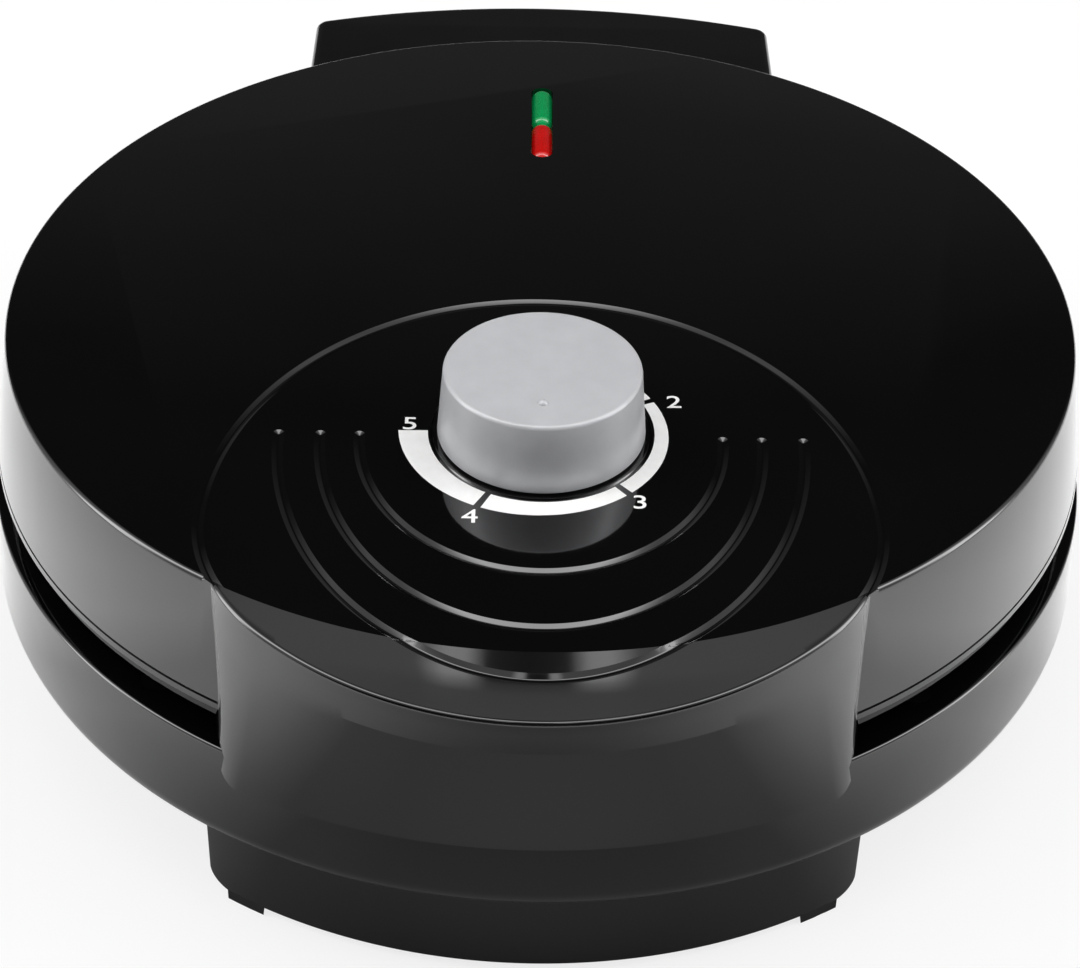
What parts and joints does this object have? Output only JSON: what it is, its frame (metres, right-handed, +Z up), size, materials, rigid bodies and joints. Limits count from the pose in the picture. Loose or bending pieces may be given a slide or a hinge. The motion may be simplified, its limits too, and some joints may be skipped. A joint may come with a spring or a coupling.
{
  "type": "heart waffle maker",
  "caption": "Round countertop heart waffle maker with a hinged lid and lobed front handle, patterned baking plates, a temperature knob and a bowl base on a leg and hinge block.",
  "frame": {"origin": "centre of the bounding box on the floor under the feet, lid closed", "axes": "+X to the right seen from the handle's side, +Y to the hinge at the back, +Z up"},
  "size_m": [0.2376, 0.2642, 0.099],
  "materials": {
    "gloss_black": "high gloss moulding",
    "satin_black": "satin moulding",
    "rubber": "matt",
    "nonstick": "cast, dark non-stick coating",
    "pan_steel": "pressed aluminised sheet",
    "heater_steel": "heat-darkened tube",
    "steel": "zinc plated",
    "brass": "plain",
    "bakelite": "heat-proof moulding",
    "silver": "satin silver paint",
    "green_lens": "tinted, clear moulding",
    "red_lens": "tinted, clear moulding",
    "neon_glass": "clear tube"
  },
  "bodies": {
    "base": {"base_housing": "gloss_black", "rubber_feet": "rubber", "lower_plate": "nonstick", "lower_heating_element": "heater_steel", "lower_heat_shield": "pan_steel", "lower_plate_screws": "steel", "base_screws": "steel", "terminal_block": "bakelite", "terminal_screws": "brass", "earth_screw": "steel", "cord_gland": "satin_black", "hinge_pins": "steel"},
    "lid": {"lid_housing": "gloss_black", "lid_liner": "satin_black", "rear_hinge_cover": "satin_black", "upper_plate": "nonstick", "upper_heating_element": "heater_steel", "upper_heat_shield": "pan_steel", "upper_plate_screws": "steel", "liner_screws": "steel", "hinge_cover_screws": "steel", "thermostat_body": "bakelite", "thermostat_bracket": "steel", "thermostat_screws": "steel", "thermal_fuse": "steel", "fuse_clip": "steel", "green_lens": "green_lens", "red_lens": "red_lens", "lamp_holder": "bakelite", "neon_lamps": "neon_glass", "lamp_screws": "steel"},
    "knob": {"control_knob": "silver", "thermostat_shaft": "steel", "knob_clip": "steel"}
  },
  "joints": [
    {"name": "lid_hinge", "type": "hinge", "parent": "base", "child": "lid", "pos_m": [0, 0.11815, 0.051], "axis": [-1, 0, 0], "range_deg": [0, 100]},
    {"name": "knob_turn", "type": "hinge", "parent": "lid", "child": "knob", "pos_m": [0, -0.05185, 0.083], "axis": [0, 0, 1], "range_deg": [-90, 170]}
  ]
}
